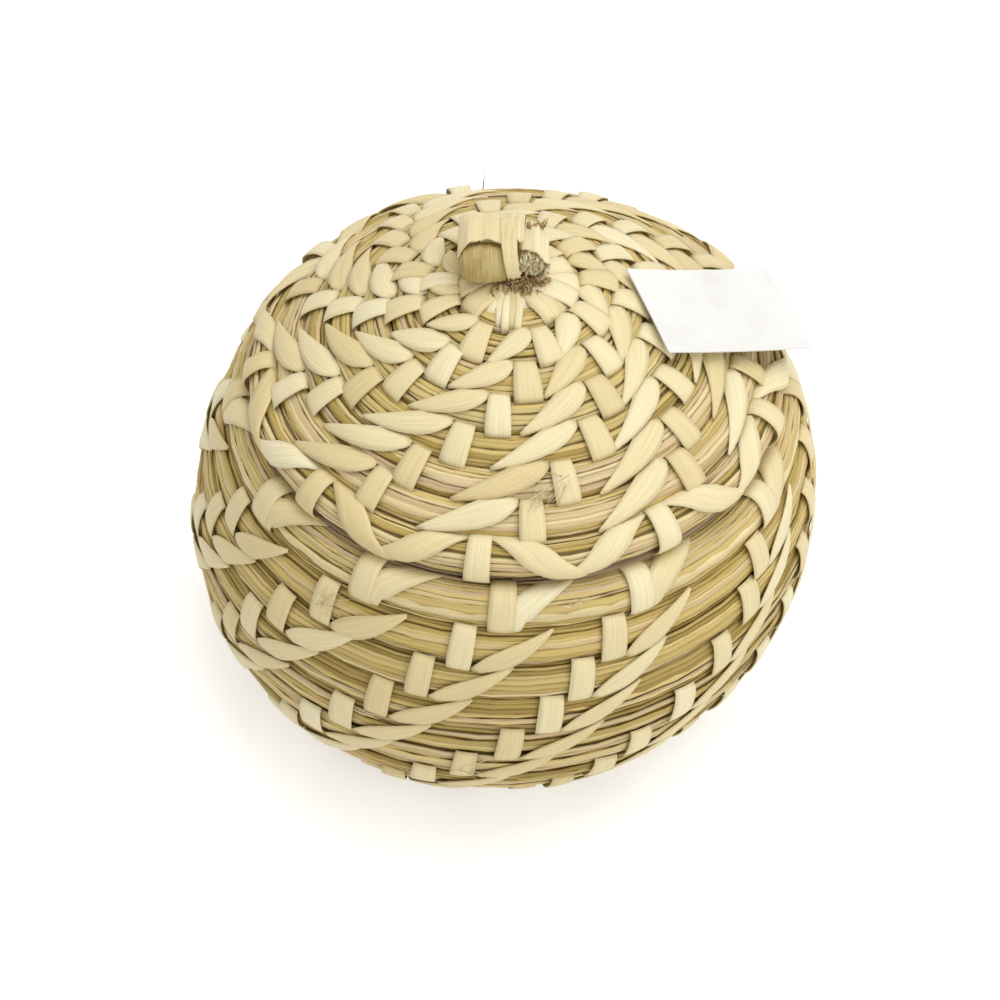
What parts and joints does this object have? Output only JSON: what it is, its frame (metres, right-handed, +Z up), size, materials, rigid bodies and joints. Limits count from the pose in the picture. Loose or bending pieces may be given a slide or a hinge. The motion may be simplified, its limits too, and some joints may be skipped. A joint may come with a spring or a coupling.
{
  "type": "lidded basket",
  "caption": "Round coiled grass basket with a domed lift-off lid, pale split stitches that lean in arms, a leaf knob and a blank paper card.",
  "frame": {"origin": "on the floor, under the middle of the bowl's belly", "axes": "+Z up, the way the lid lifts; -Y towards the viewer of the picture; +X to that viewer's right, where the card lies"},
  "size_m": [0.1618, 0.1618, 0.1375],
  "materials": {
    "grass_bundle": "dry grass blades, dull",
    "stitch_strip": "pale flat leaf strip with fine ribs, faint sheen",
    "rolled_leaf": "olive brown rolled leaf",
    "torn_fibre": "brown torn fibre, dull",
    "card": "matt white card"
  },
  "bodies": {
    "bowl": {"bowl_coil": "grass_bundle", "ledge_coil": "grass_bundle", "bowl_stitch_arm_01": "stitch_strip", "bowl_stitch_arm_02": "stitch_strip", "bowl_stitch_arm_03": "stitch_strip", "bowl_stitch_arm_04": "stitch_strip", "bowl_stitch_arm_05": "stitch_strip", "bowl_stitch_arm_06": "stitch_strip", "bowl_stitch_arm_07": "stitch_strip", "bowl_stitch_arm_08": "stitch_strip", "bowl_stitch_arm_09": "stitch_strip", "bowl_stitch_arm_10": "stitch_strip", "bowl_stitch_arm_11": "stitch_strip", "bowl_stitch_arm_12": "stitch_strip"},
    "lid": {"lid_coil": "grass_bundle", "lid_stitch_arm_01": "stitch_strip", "lid_stitch_arm_02": "stitch_strip", "lid_stitch_arm_03": "stitch_strip", "lid_stitch_arm_04": "stitch_strip", "lid_stitch_arm_05": "stitch_strip", "lid_stitch_arm_06": "stitch_strip", "lid_stitch_arm_07": "stitch_strip", "lid_stitch_arm_08": "stitch_strip", "lid_stitch_arm_09": "stitch_strip", "lid_rim_binding": "stitch_strip", "knob_roll": "rolled_leaf", "knob_strap": "stitch_strip", "knob_leaf": "stitch_strip", "knob_stub": "grass_bundle", "knob_wrap": "torn_fibre", "paper_card": "card"}
  },
  "joints": [
    {"name": "lid_lift", "type": "slide", "parent": "bowl", "child": "lid", "axis": [0, 0, 1], "range_m": [0, 0.12]}
  ]
}
